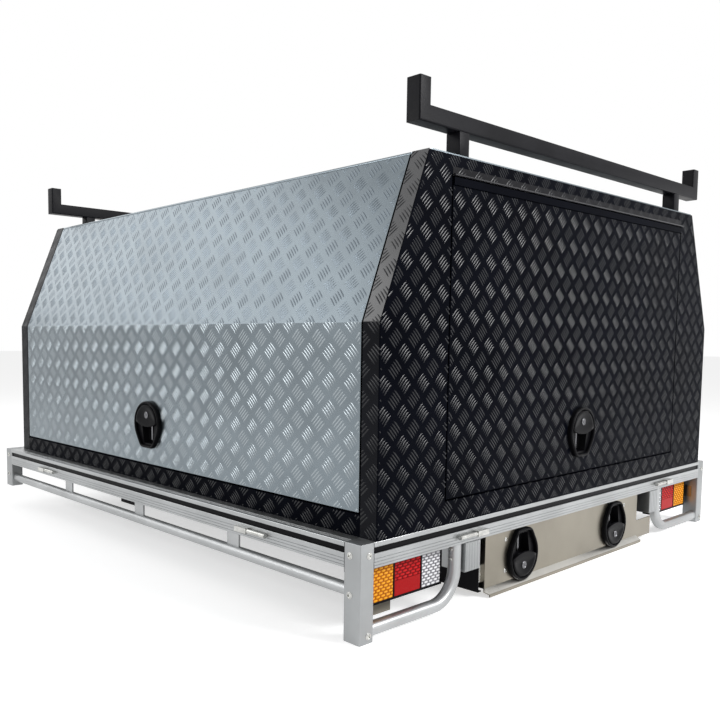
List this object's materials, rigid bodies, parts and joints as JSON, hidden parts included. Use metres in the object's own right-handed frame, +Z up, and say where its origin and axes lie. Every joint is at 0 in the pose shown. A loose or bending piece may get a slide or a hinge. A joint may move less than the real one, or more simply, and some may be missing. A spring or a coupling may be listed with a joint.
{
  "type": "pickup truck canopy on its tray",
  "caption": "Tread plate pickup canopy with sloping lift-up side doors and a rear door, on an alloy tray with racks, lights and an under-tray drawer.",
  "frame": {"origin": "middle of the footprint, on the floor under the rear corner posts and chassis brackets", "axes": "+X to the right seen from behind, +Y to the cab, +Z up"},
  "size_m": [1.913, 1.944, 1.268],
  "materials": {
    "tray_aluminium": "satin extruded",
    "silver_tread_plate": "five-bar tread, semi-gloss",
    "black_tread_plate": "five-bar tread, powder coated",
    "black_steel": "semi-gloss powder coat",
    "brushed_steel": "brushed",
    "zinc_steel": "zinc plated",
    "black_plastic": "moulded, satin",
    "lens_amber": "moulded lens",
    "lens_red": "moulded lens",
    "lens_clear": "moulded lens"
  },
  "bodies": {
    "tray_and_canopy": {"tray_deck": "tray_aluminium", "cross_bearers": "tray_aluminium", "coaming_left": "tray_aluminium", "coaming_right": "tray_aluminium", "coaming_rear": "tray_aluminium", "coaming_front": "tray_aluminium", "corner_post_rear_left": "tray_aluminium", "corner_post_rear_right": "tray_aluminium", "corner_post_front_left": "tray_aluminium", "corner_post_front_right": "tray_aluminium", "runner_left": "tray_aluminium", "runner_right": "tray_aluminium", "chassis_brackets": "black_steel", "rope_rail_left": "tray_aluminium", "rope_rail_right": "tray_aluminium", "dropside_hinge_pins": "zinc_steel", "light_guard_left": "tray_aluminium", "light_guard_right": "tray_aluminium", "tail_light_housings": "black_plastic", "tail_light_lenses_amber": "lens_amber", "tail_light_lenses_red": "lens_red", "tail_light_lenses_clear": "lens_clear", "tail_light_brackets": "brushed_steel", "pillar_rear_left": "black_tread_plate", "pillar_rear_right": "black_tread_plate", "pillar_front_left": "black_tread_plate", "pillar_front_right": "black_tread_plate", "side_sill_left": "black_tread_plate", "side_sill_right": "black_tread_plate", "front_wall": "black_tread_plate", "rear_wall": "black_tread_plate", "canopy_roof": "black_tread_plate", "side_door_hinges": "black_steel", "rear_door_hinge": "black_steel", "roof_rack_rear": "black_steel", "roof_rack_front": "black_steel", "drawer_housing": "black_steel", "drawer_slide_channels": "zinc_steel"},
    "side_door_left": {"side_door_left": "silver_tread_plate", "latch_bezel_side_left": "black_plastic"},
    "side_door_right": {"side_door_right": "silver_tread_plate", "latch_bezel_side_right": "black_plastic"},
    "rear_door": {"rear_door": "black_tread_plate", "latch_bezel_rear": "black_plastic"},
    "drawer": {"drawer_box": "brushed_steel", "drawer_face": "brushed_steel", "drawer_slide_bars": "zinc_steel", "latch_bezel_drawer_left": "black_plastic", "latch_bezel_drawer_right": "black_plastic"},
    "latch_side_left": {"latch_paddle_side_left": "black_plastic"},
    "latch_side_right": {"latch_paddle_side_right": "black_plastic"},
    "latch_rear": {"latch_paddle_rear": "black_plastic"},
    "latch_drawer_left": {"latch_paddle_drawer_left": "black_plastic"},
    "latch_drawer_right": {"latch_paddle_drawer_right": "black_plastic"}
  },
  "joints": [
    {"name": "side_door_left_hinge", "type": "hinge", "parent": "tray_and_canopy", "child": "side_door_left", "pos_m": [-0.72662, 0, 1.108], "axis": [0, 1, 0], "range_deg": [0, 85]},
    {"name": "side_door_right_hinge", "type": "hinge", "parent": "tray_and_canopy", "child": "side_door_right", "pos_m": [0.72662, 0, 1.108], "axis": [0, -1, 0], "range_deg": [0, 85]},
    {"name": "rear_door_hinge", "type": "hinge", "parent": "tray_and_canopy", "child": "rear_door", "pos_m": [0, -0.963, 1.0648], "axis": [-1, 0, 0], "range_deg": [0, 90]},
    {"name": "drawer_slide", "type": "slide", "parent": "tray_and_canopy", "child": "drawer", "axis": [0, -1, 0], "range_m": [0, 1]},
    {"name": "latch_side_left_pull", "type": "hinge", "parent": "side_door_left", "child": "latch_side_left", "pos_m": [-0.9005, -0.018, 0.467], "axis": [0, 1, 0], "range_deg": [0, 45], "stiffness_Nm_per_rad": 0.6, "springref_deg": -17.19},
    {"name": "latch_side_right_pull", "type": "hinge", "parent": "side_door_right", "child": "latch_side_right", "pos_m": [0.9005, -0.018, 0.467], "axis": [0, -1, 0], "range_deg": [0, 45], "stiffness_Nm_per_rad": 0.6, "springref_deg": -17.19},
    {"name": "latch_rear_pull", "type": "hinge", "parent": "rear_door", "child": "latch_rear", "pos_m": [0, -0.9685, 0.468], "axis": [-1, 0, 0], "range_deg": [0, 45], "stiffness_Nm_per_rad": 0.6, "springref_deg": -17.19},
    {"name": "latch_drawer_left_pull", "type": "hinge", "parent": "drawer", "child": "latch_drawer_left", "pos_m": [-0.268, -0.9505, 0.028], "axis": [1, 0, 0], "range_deg": [0, 45], "stiffness_Nm_per_rad": 0.6, "springref_deg": -17.19},
    {"name": "latch_drawer_right_pull", "type": "hinge", "parent": "drawer", "child": "latch_drawer_right", "pos_m": [0.268, -0.9505, 0.028], "axis": [1, 0, 0], "range_deg": [0, 45], "stiffness_Nm_per_rad": 0.6, "springref_deg": -17.19}
  ]
}
